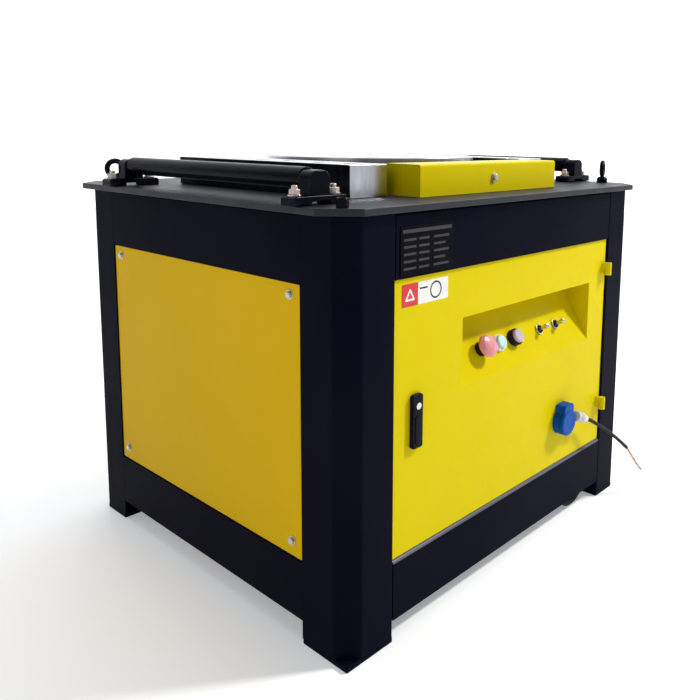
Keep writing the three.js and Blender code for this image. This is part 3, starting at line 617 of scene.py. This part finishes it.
def lead():
    """The free lead: a black sheath with three twisted copper cores bared at its far end."""
    sheath_r, core_r, spread, twists = 3.5, 1.15, 1.45, 1.6
    route = smooth_route(LEAD_ROUTE, 5)
    curve = bpy.data.curves.new("mains_flex", "CURVE")
    curve.dimensions = "3D"
    curve.bevel_depth = sheath_r * MM
    curve.bevel_resolution = 6
    curve.use_fill_caps = True
    spline = curve.splines.new("POLY")
    spline.points.add(len(route) - 1)
    for target, p in zip(spline.points, route):
        target.co = (*(p * MM), 1)
    # Thin at its first point, so that it clears the gland with the door open.
    spline.points[0].radius = 0.3
    curve.materials.append(SHEATH)
    flex = bpy.data.objects.new("mains_flex", curve)
    bpy.context.scene.collection.objects.link(flex)
    strands = []
    line = smooth_route(CORE_ROUTE, 2)
    for k in range(3):
        path = []
        for i, p in enumerate(line):
            angle = TAU * (k / 3 + twists * (i / (len(line) - 1)))
            across, rise = math.cos(angle) * 0.7, math.sin(angle)
            path.append(p + Vector((across, rise, across)) * spread)
        strands.append(tube_mesh(path, core_r, 8))
    cores = piece("bare_strands", merged(*strands), "free_lead", COPPER, ["bared_cores"],
                  weighted=False)
    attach(flex, "free_lead")
    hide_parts("mains_lead")


# ---------------------------------------------------------------- cabinet

def posts():
    """Four folded corner posts. The front ones turn inward at the door opening."""
    inner = CHAMFER + SHEET * math.sqrt(2) - SHEET
    weld, weld_z = 1.5, 9.4
    for name, sx, sy in (("front_left", -1, -1), ("front_right", 1, -1), ("rear_left", -1, 1),
                         ("rear_right", 1, 1)):
        def put(points):
            return [(sx * (CAB_X - u), sy * (CAB_Y - v)) for u, v in points]
        if sy < 0:
            end = [(POST_X, 0), (POST_X, FOLD), (POST_X - SHEET, FOLD), (POST_X - SHEET, SHEET)]
            end_radii = [3.5, 0, 0, 1.5]
        else:
            end = [(POST_X, 0), (POST_X, SHEET)]
            end_radii = [0, 0]
        outline = [(CHAMFER, 0), *end, (inner, SHEET), (SHEET, inner), (SHEET, POST_Y), (0, POST_Y),
                   (0, CHAMFER)]
        radii = [9, *end_radii, 5, 5, 0, 0, 9]
        column = plate_mesh(put(fillet(outline, radii, 6)), 7.5, UNDER - 0.4, bevel=0.4, steps=1)
        piece(f"post_{name}", column, "cabinet", NAVY, [f"corner_post_{name}"])
        corner = [(0, 0)] if name == "front_left" else [(0, CHAMFER), (CHAMFER, 0)]
        foot = fillet(put([*corner, (POST_X, 0), (POST_X, POST_Y), (0, POST_Y)]), 2.5, 4)
        piece(f"foot_{name}", plate_mesh(foot, 0, 8, bevel=1.0), "cabinet", NAVY)
        bead = [(POST_X - 2, SHEET + weld), (inner + 1, SHEET + weld), (SHEET + weld, inner + 1),
                (SHEET + weld, POST_Y - 2)]
        line = smooth_route([(*p, weld_z) for p in put(bead)], 6)
        piece(f"foot_weld_{name}", tube_mesh(line, 2.2, 8), "cabinet", NAVY, weighted=False)
        strips = {"v": rect(SHEET, 2 * SHEET, POST_Y - 8, POST_Y + 18)}
        if sy > 0:
            strips["u"] = rect(POST_X - 8, POST_X + 18, SHEET, 2 * SHEET)
        for axis, points in strips.items():
            strip = plate_mesh(put(points), 145, 516, bevel=0.4, steps=1)
            piece(f"post_strip_{name}_{axis}", strip, "cabinet", NAVY)


def rails():
    """A top and a bottom rail on each side. All but the bottom rails behind the panels are flanged."""
    flange, low_top = 28, 126

    def section(low, top, flanged):
        if flanged:
            web = [(0, low), (0, top), (flange, top), (flange, top - SHEET), (SHEET, top - SHEET),
                   (SHEET, low)]
            return fillet(web, [0, 6, 0, 0, 2, 0], 6)
        return [(0, low), (0, top), (SHEET, top), (SHEET, low)]

    runs = {"front": ("X", -1, CAB_Y, 307.7), "rear": ("X", 1, CAB_Y, 307.7),
            "left": ("Y", -1, CAB_X, 263.7), "right": ("Y", 1, CAB_X, 263.7)}
    for end, (axis, side, out, half) in runs.items():
        behind_panel = end != "front"
        high = 535 if behind_panel else 541
        bottom = 33 if end in ("front", "rear") else 36
        for level, body in (("top", section(high, UNDER - GAP, True)),
                            ("bottom", section(bottom, low_top, not behind_panel))):
            outline = [(side * (out - u), v) for u, v in body]
            mesh = plate_mesh(outline, -half, half, axis=axis, bevel=0.4, steps=1)
            if behind_panel:
                z0, z1 = (high - 18, high + 8) if level == "top" else (low_top - 8, low_top + 18)
                strip = [(side * (out - u), v) for u, v in rect(SHEET + 0.05, 2 * SHEET, z0, z1)]
                mesh = merged(mesh, plate_mesh(strip, -half, half, axis=axis, bevel=0.4, steps=1))
            rail = piece(f"rail_{level}_{end}", mesh, "cabinet", NAVY, [f"{level}_rail_{end}"])
            # The upward faces along the top of the front bottom rail take the lighter paint: a painted
            # highlight on its lit top edge.
            if level == "bottom" and end == "front":
                rail.data.materials.append(RAIL_TOP_HIGHLIGHT)
                for face in rail.data.polygons:
                    if face.normal.z > 0.25 and face.center.z > (low_top - 8) * MM:
                        face.material_index = 1


def hex_bolt(r_head=6.5, head=5.2, washer=9.0, thick=1.4):
    """A hexagon bolt head on a washer, standing along +Z from 0, as one mesh."""
    top = thick + head
    ring_mesh = lathe_mesh([(0, 0), (washer, 0), (washer, thick), (0, thick)], 32, 0.4)
    head_mesh = plate_mesh(ring(0, 0, r_head / math.cos(math.pi / 6), 6, 0.3), thick + 0.05, top, bevel=0.7)
    crown = lathe_mesh([(0, top - 0.1), (r_head * 0.82, top - 0.1), (r_head * 0.76, top + 0.35),
                        (0, top + 0.4)], 24)
    return merged(ring_mesh, head_mesh, crown)


def bolts(name, places, **sizes):
    """Zinc bolts on the cabinet, one piece for each place, (x, y, z, axis)."""
    for i, (x, y, z, axis) in enumerate(places, 1):
        mesh = hex_bolt(**sizes)
        mesh.transform(at(x, y, z, axis, spin=0.37 * i))
        piece(f"{name}_{i}", mesh, "cabinet", ZINC)


def panels():
    """Side and rear panels, set in from the posts, each held by four screws."""
    screw = {"r_head": 4.6, "head": 3.4, "washer": 7.2, "thick": 1.2}
    screw_zs = (151, 517)
    thickness = 1.5
    half, face, screw_y = 262.5, CAB_X - 2.2, 240
    for side, name in ((-1, "left"), (1, "right")):
        outline = fillet(rect(-half, half, PANEL_LOW, PANEL_HIGH), 3, 4)
        lo, hi = sorted((side * face, side * (face - thickness)))
        # The side panels take the darker copy of the yellow: painted shade.
        piece(f"panel_{name}", plate_mesh(outline, lo, hi, axis="X", bevel=0.5), "cabinet", SHADED_YELLOW,
              [f"side_panel_{name}"])
        outward = "X" if side > 0 else "-X"
        spots = [(side * face, y, z, outward) for y in (-screw_y, screw_y) for z in screw_zs]
        bolts(f"panel_screw_{name}", spots, **screw)
    half, face, screw_x = 306.5, CAB_Y - 2.2, 284
    outline = fillet(rect(-half, half, PANEL_LOW, PANEL_HIGH), 3, 4)
    piece("panel_rear", plate_mesh(outline, face - thickness, face, axis="Y", bevel=0.5), "cabinet",
          YELLOW, ["rear_panel"])
    spots = [(x, face, z, "Y") for x in (-screw_x, screw_x) for z in screw_zs]
    bolts("panel_screw_rear", spots, **screw)


def table():
    """The table plate, with cut corners and a hole for the spindle."""
    x, y, cut = 425, 370, 45
    outline = [(cut - x, -y), (x - cut, -y), (x, cut - y), (x, y - cut), (x - cut, y), (cut - x, y),
               (-x, y - cut), (-x, cut - y)]
    plate = plate_mesh(fillet(outline, 5, 4), UNDER, TABLE_TOP, [ring(0, 0, 50, 64)], bevel=1.2, steps=3)
    piece("table", plate, "cabinet", NAVY_TOP, ["table_plate"])


def disc():
    """The bending disc, with a centre hole and two rings of four pin holes."""
    holes = [ring(0, 0, 22, 48)]
    for r, turn in ((95, 0), (155, 45)):
        for i in range(4):
            angle = math.radians(turn + 90 * i)
            holes.append(ring(r * math.cos(angle), r * math.sin(angle), PIN_HOLE, 40))
    top = plate_mesh(ring(0, 0, 200, 160), 660, 700, holes, bevel=1.6, steps=2)
    piece("disc", top, "disc", STEEL_DISC, ["bending_disc"])


def pin_blocks():
    """Two steel bars, each with six pin holes: long sides painted, ends ground bright."""
    width, half, pitch = 80, 228.5, 74
    for name, side in (("left", -1), ("right", 1)):
        xc, yc = 256 * side, 24.5 * side
        x0, x1 = xc - width // 2, xc + width // 2
        y0, y1 = yc - half, yc + half
        holes = [ring(xc, yc + (i - 2.5) * pitch, PIN_HOLE, 40) for i in range(6)]
        body = plate_mesh(fillet(rect(x0, x1, y0, y1), 2, 3), DECK, BLOCK_TOP, holes, bevel=1.4, steps=2)
        block = piece(f"block_{name}", body, "cabinet", STEEL_Y, [f"pin_block_{name}"])
        block.data.materials.append(BLACK_GLOSS)
        block.data.materials.append(STEEL_END)
        for face in block.data.polygons:
            n, p = face.normal, face.center / MM
            if abs(n.x) > 0.7 and (abs(p.x - x0) < 2 or abs(p.x - x1) < 2):
                face.material_index = 1
            elif abs(n.y) > 0.7 and (abs(p.y - y0) < 2 or abs(p.y - y1) < 2):
                face.material_index = 2


def stud_nut():
    """A washer, a tall nut and the stud's end, standing along +Z from 0."""
    washer = lathe_mesh([(0, 0), (9.5, 0), (9.5, 1.8), (0, 1.8)], 32, 0.4)
    nut = plate_mesh(ring(0, 0, 8.3, 6, 0.3), 1.85, 9, bevel=0.9)
    stud = lathe_mesh([(0, 8.9), (4.3, 8.9), (4.3, 13), (3.5, 14), (0, 14)], 24, 0.3)
    return merged(washer, nut, stud)


def rollers():
    """A roller along each side of the table, between two brackets, each held by two nuts."""
    low, shoulder, axle = 655, 658, 680
    foot = [(-46, DECK), (-16, DECK), (-16, DECK + 5), (16, DECK + 5), (16, DECK), (46, DECK),
            (46, low), (43, shoulder), (-43, shoulder), (-46, low)]
    foot = fillet(foot, [1, 1, 1.5, 1.5, 1, 1, 2, 2, 2, 2], 3)
    cheek = fillet(rect(-17, 17, low, 691.5), [0, 0, 12, 12], 8)
    for side, name, ys in ((-1, "left", (-280, 217)), (1, "right", (-228, 269))):
        x, middle, half = side * 386, sum(ys) / 2, (ys[1] - ys[0]) / 2
        for end, y in zip(("front", "rear"), ys):
            base = plate_mesh([(x + a, b) for a, b in foot], y - 15, y + 15, axis="Y", bevel=1.6, steps=2)
            head = plate_mesh([(x + a, b) for a, b in cheek], y - 13, y + 13, axis="Y", bevel=2.0, steps=3)
            piece(f"bracket_{name}_{end}", merged(base, head), "cabinet", BLACK_GLOSS,
                  [f"roller_bracket_{name}_{end}"])
            for i, dx in enumerate((-34, 34), 1):
                mesh = stud_nut()
                mesh.transform(at(x + dx, y, shoulder, "Z", spin=0.5 * i))
                piece(f"bracket_nut_{name}_{end}_{i}", mesh, "cabinet", ZINC_YELLOW)
        reach, body = half + 12, half - 14
        profile = [(0, -reach), (7, -reach), (7, -body), (13.5, -body), (15, 1.5 - body), (15, body - 1.5),
                   (13.5, body), (7, body), (7, reach), (0, reach)]
        mesh = lathe_mesh(profile, 64, 0.6, place=at(x, middle, axle, "Y"))
        piece(f"roll_{name}", mesh, f"{name}_roller", BLACK_GLOSS, [f"roller_{name}"])


def eye_bolts():
    """Two lifting eyes near opposite edges of the table, each turned a little."""
    big, wire, top = 13.4, 4.7, 692
    centre = top - big - wire
    turns = [TAU * i / 48 for i in range(48)]
    for name, x, y, turn in (("front_right", 400, -290, 22), ("rear_left", -400, 246, -20)):
        angle = math.radians(turn)
        loop = [(x + big * math.cos(t) * math.cos(angle), y + big * math.cos(t) * math.sin(angle),
                 centre + big * math.sin(t)) for t in turns]
        hoop = tube_mesh(loop, wire, 16, closed=True)
        seat = lathe_mesh([(0, 0), (11, 0), (11, 8), (7.5, 12), (0, 12)], 40, 1.2, place=at(x, y, DECK))
        piece(f"lifting_eye_{name}", merged(hoop, seat), "cabinet", BLACK_GLOSS,
              [f"eye_bolt_{name}"])


def cover():
    """The yellow switch cover at the front of the table: a folded channel with two end plates."""
    x0, x1, y0, y1, top, t = -194, 192, -300, -230, BLOCK_TOP, 2
    outer = fillet([(y0, DECK), (y0, top), (y1, top), (y1, top - t), (y0 + t, top - t), (y0 + t, DECK)],
                   [0, 4, 0, 0, 2.2, 0], 5)
    channel = plate_mesh(outer, x0, x1, axis="X", bevel=0.5, steps=2)
    side = fillet(rect(y0 + 0.6, y1, DECK, top - 0.6), [0, 0, 2, 3], 4)
    ends = [plate_mesh(side, x, x + t, axis="X", bevel=0.4, steps=1) for x in (x0, x1 - t)]
    piece("cover", merged(channel, *ends), "cabinet", YELLOW, ["switch_cover"])
    bolts("cover_bolt", [(-3, y0, 670, "-Y")], r_head=5.2, head=4.2, washer=8, thick=1.4)


def cap_bolts():
    """Socket-head bolts at two opposite corners of the table."""
    x, y = 390.5, 339.7
    for i, side in enumerate((-1, 1), 1):
        head = lathe_mesh([(0, 0), (8.5, 0), (8.5, 11.5), (7.5, 13), (5, 13), (5, 7), (0, 7)], 40, 0.5,
                          place=at(side * x, side * y, DECK))
        piece(f"cap_bolt_{i}", head, "cabinet", BLACK_GLOSS)


# ---------------------------------------------------------------- door and its fittings

def console(x):
    """A placing matrix standing +Z on the sloped plate, on the buttons' line at x."""
    y = DOOR_FACE + LINE * math.cos(LEAN)
    z = RECESS_LOW + LINE * math.sin(LEAN)
    return Matrix.Translation((x * MM, y * MM, z * MM)) @ Matrix.Rotation(LEAN, 4, "X")


def finish_node(node, look, bevel):
    """Gives a CAD node its material, with its edges rounded."""
    made = NODES[node]
    made.data.materials.clear()
    made.data.materials.append(look)
    for face in made.data.polygons:
        face.use_smooth = True
    if "custom_normal" in made.data.attributes:
        made.data.attributes.remove(made.data.attributes["custom_normal"])
    flat = made.modifiers.new("flat", "DECIMATE")
    flat.decimate_type = "DISSOLVE"
    flat.angle_limit = math.radians(0.5)
    edge = made.modifiers.new("edge", "BEVEL")
    edge.width = bevel * MM
    edge.segments = 2
    edge.limit_method = "ANGLE"
    edge.angle_limit = math.radians(35)
    edge.use_clamp_overlap = True
    normals = made.modifiers.new("normals", "WEIGHTED_NORMAL")
    normals.weight = 70


def handle():
    """The door's latch: a lever on a spindle, with a round lock in it."""
    x, spindle_z, width, front = -261.5, 350.2, 22, -362
    low, high, grip_top = 285.6, 367.1, 335
    outline = fillet(rect(x - width / 2, x + width / 2, low, high), 4, 4)
    lever = plate_mesh(outline, front, DOOR_SEAT, axis="Y", bevel=1.6, steps=3)
    grip = fillet(rect(x - 6.5, x + 6.5, low + 7, grip_top), 3, 4)
    ridge = plate_mesh(grip, front - 1.4, front + 0.8, axis="Y", bevel=0.9)
    spindle = lathe_mesh([(0, -6), (6, -6), (6, 26), (0, 26)], 32, 0.5,
                         place=at(x, DOOR_FACE, spindle_z, "Y"))
    piece("latch_lever", merged(lever, ridge, spindle), "handle", BLACK_GLOSS, ["door_handle"])
    lock = lathe_mesh([(0, 0), (5.2, 0), (5.2, 1.3), (0, 1.5)], 32, 0.3, place=at(x, front, spindle_z, "-Y"))
    piece("latch_lock", lock, "handle", ZINC)
    finish_node("lock_cam", ZINC, 0.6)


def buttons():
    """The emergency stop, start and stop buttons and two toggles, along one line on the sloped plate."""
    def turned(profile, soft, x, count=48):
        return lathe_mesh(profile, count, soft, place=console(x))

    emergency, start, stop = -73.6, -21.9, 21.8
    head = turned([(0, -16), (9, -16), (9, 13), (17, 14), (19, 16.5), (19, 21), (15.5, 26), (8, 28.5),
                   (0, 29)], 1.2, emergency)
    piece("estop_head", head, "estop", RED, ["emergency_stop"])
    collar = turned([(9.6, 0.2), (12.4, 0.2), (12.4, 5), (11.6, 8), (9.6, 8), (9.6, 0.2)], 0.6, emergency)
    piece("estop_collar", collar, "door_leaf", BLACK_PLASTIC)
    plunger = turned([(0, -14), (11.3, -14), (11.3, 10.6), (9.8, 12), (0, 12.3)], 0.6, start)
    piece("start_plunger", plunger, "start", PALE_GREEN, ["start_button"])
    bezel = turned([(12, 0.2), (14.8, 0.2), (14.8, 2.5), (13.2, 6.5), (12, 6.5), (12, 0.2)], 0.5, start)
    piece("start_bezel", bezel, "door_leaf", WHITE_PLASTIC)
    plunger = turned([(0, -14), (11.8, -14), (11.8, 16), (10.2, 17.5), (0, 17.8)], 0.6, stop)
    piece("stop_plunger", plunger, "stop", LILAC, ["stop_button"])
    bezel = turned([(12.5, 0.2), (14.8, 0.2), (14.8, 10.5), (13.8, 12), (12.5, 12), (12.5, 0.2)], 0.5, stop)
    piece("stop_bezel", bezel, "door_leaf", BLACK_PLASTIC)
    for name, x in (("left", 105.3), ("right", 160.0)):
        lever = turned([(0, -4.5), (3.2, -3.2), (4.5, 0), (3.2, 3.2), (3.0, 4.6), (3.4, 9), (4.8, 21.5),
                        (4.0, 24.3), (0, 25.4)], 0.5, x, 32)
        piece(f"toggle_lever_{name}", lever, f"{name}_toggle", ZINC, [f"toggle_{name}"])
        nut = plate_mesh(ring(0, 0, 10.2, 6, 0.2), 0.2, 3.6, [ring(0, 0, 7.5, 24)], bevel=0.5)
        nut.transform(console(x))
        sleeve = turned([(5.4, 0.2), (7.2, 0.2), (7.2, 5), (5.4, 5), (5.4, 0.2)], 0.5, x, 32)
        piece(f"toggle_nut_{name}", nut, "door_leaf", ZINC)
        piece(f"toggle_bush_{name}", sleeve, "door_leaf", BLACK_PLASTIC)


def socket():
    """The blue panel socket, the plug in front of it and the ribbed grey gland at its right."""
    x, z = 153.1, 209.1
    socket_front, plug_back, plug_front = -368.2, -368.5, -375.4
    lug = fillet(rect(x - 16, x + 16, z + 12, 243.5), [0, 0, 5, 5], 5)
    drum = lathe_mesh([(0, 0), (25, 0), (25, 11.8), (23.2, 13.9), (0, 13.9)], 72, 0.8,
                      place=at(x, DOOR_SEAT, z, "-Y"))
    rib = plate_mesh(lug, socket_front, DOOR_SEAT - 0.1, axis="Y", bevel=0.8, steps=2)
    piece("socket_body", merged(drum, rib), "door_leaf", BLUE, ["panel_socket"])
    cap = lathe_mesh([(0, 0), (23.5, 0), (25, 1.4), (25, 5.6), (22.8, 7.7), (18, 7.9), (0, 7.2)], 72, 0.6,
                     place=at(x, plug_back, z, "-Y"))
    knob = plate_mesh(lug, plug_front, plug_back - 0.1, axis="Y", bevel=1.4, steps=3)
    piece("plug_body", merged(cap, knob), "door_leaf", BLUE, ["plug"])
    start, end = (182.5, -372.4, 213.5), (221.9, -373.3, 197.0)
    length = (Vector(end) - Vector(start)).length
    profile = [(0, 0), (8.5, 0), (10, 1.6)]
    for i in range(5):
        h = 4 + i * 3.2
        profile += [(10, h), (9.2, h + 0.8), (9.2, h + 1.9), (10, h + 2.6)]
    profile += [(9.8, 22.5), (6.4, length - 2), (5.4, length), (0, length)]
    gland = lathe_mesh(profile, 40, 0.3, place=pointing(start, end))
    piece("gland", gland, "door_leaf", GREY_PLASTIC, ["cable_gland"])


def labels():
    """A data plate with blank rows and a plain two-tone sticker, without lettering."""
    def film(outline, back, thick, bevel, holes=(), steps=1):
        return plate_mesh(outline, back - thick, back, holes, axis="Y", bevel=bevel, steps=steps)

    dark = moulded("plate_black", (0.003, 0.003, 0.004), (0.25, 0.4), shine=0.02)
    pale = moulded("plate_grey", (0.05, 0.05, 0.06), (0.3, 0.45), shine=0.05)
    plate_back = -CAB_Y - GAP
    body = film(fillet(rect(-300, -186, 545, 614), 2, 3), plate_back, 1.2, 0.3)
    piece("data_plate", body, "cabinet", dark, ["nameplate"])
    rows = [(-296, -190, 604.5, 609.5)]
    for k in range(5):
        z = 598 - k * 10.2
        rows += [(x0, x1, z - 4.6, z - 1.2)
                 for x0, x1 in ((-294, -268), (-262, -240), (-230, -196 - (k % 2) * 8))]
    bars = [film(rect(*row), plate_back - 1.15, 0.3, 0.05, steps=0) for row in rows]
    piece("data_plate_rows", merged(*bars), "cabinet", pale)
    white = moulded("sticker_white", (0.78, 0.77, 0.74), (0.35, 0.5))
    red = moulded("sticker_red", (0.62, 0.02, 0.025), (0.3, 0.45))
    low, high, sticker_back, mark_back = 498.4, 531.2, DOOR_FACE - 0.05, DOOR_FACE - 0.42
    body = film(fillet(rect(-257.2, -189.5, low, high), 1.5, 3), sticker_back, 0.4, 0.1)
    piece("sticker_white", body, "door_leaf", white)
    body = film(fillet(rect(-291.4, -257.6, low, high), 1.5, 3), sticker_back, 0.4, 0.1)
    piece("sticker_red", body, "door_leaf", red)
    x, z = -217.8, 515.3
    circle = film(ring(x, z, 13, 40), mark_back, 0.18, 0.05, [ring(x, z, 10.6, 40)], 0)
    dash = film(rect(-253.6, -236.7, 520.3, 522.7), mark_back, 0.18, 0.05, steps=0)
    piece("sticker_marks", merged(circle, dash), "door_leaf", BLACK_PLASTIC)
    outer = [(-274.5, 525.2), (-263.5, 506.3), (-285.4, 506.3)]
    inner = [(-274.5, 519.8), (-268.5, 509.3), (-280.4, 509.3)]
    triangle = film(fillet(outer, 1.5, 3), mark_back, 0.18, 0.05, [inner], 0)
    piece("sticker_sign", triangle, "door_leaf", white)


def castors():
    """Two wheels under the right-hand end, one at the front and one at the rear."""
    x, axle_z, nut = 236, 52, 22.8
    half = [(16, 16), (18, 13.5), (36, 13.5), (38, 15.5), (45, 16), (50, 12)]
    profile = [(6.5, -16), *((r, -w) for r, w in half), *reversed(half), (6.5, 16), (6.5, -16)]
    for name, side in (("front", -1), ("rear", 1)):
        y = side * 327
        wheel = lathe_mesh(profile, 72, 0.8, place=at(x, y, axle_z, "Y"))
        piece(f"tyre_{name}", wheel, f"{name}_wheel", TYRE, [f"wheel_{name}"])
        finish_node(f"wheel_fork_{name}", ZINC, 0.6)
        hub = hex_bolt(r_head=8, head=5, washer=10.5, thick=1.5)
        hub.transform(at(x, y - side * nut, axle_z, "Y" if side < 0 else "-Y"))
        piece(f"axle_nut_{name}", hub, "cabinet", ZINC)


# ---------------------------------------------------------------- everything else keeps its CAD shape

def carried_over():
    """The other CAD nodes, each with its look and the width of its rounded edges in mm."""
    for node, look, bevel in (
        ("base_tray", NAVY, 0.6), ("door", YELLOW, 0.9),
        ("hinge_pin_lower", YELLOW, 0.7), ("hinge_pin_upper", YELLOW, 0.7),
        ("limit_switch", BLACK_PLASTIC, 0.8), ("gearbox_housing", CAST, 2.0),
        ("gearbox_lid", CAST, 1.5), ("motor", CAST, 1.5),
        ("motor_pulley", CAST, 0.6), ("driven_pulley", CAST, 0.6),
        ("drive_belt", BELT, 0.5), ("main_spindle", STEEL, 0.8),
        ("worm_wheel", BRONZE, 0.4), ("worm_shaft", STEEL, 0.3),
        ("control_box", ZINC, 0.4),
    ):
        finish_node(node, look, bevel)


camera()
lead()
studio()
posts()
rails()
panels()
table()
disc()
pin_blocks()
rollers()
eye_bolts()
cover()
cap_bolts()
handle()
buttons()
socket()
labels()
castors()
carried_over()
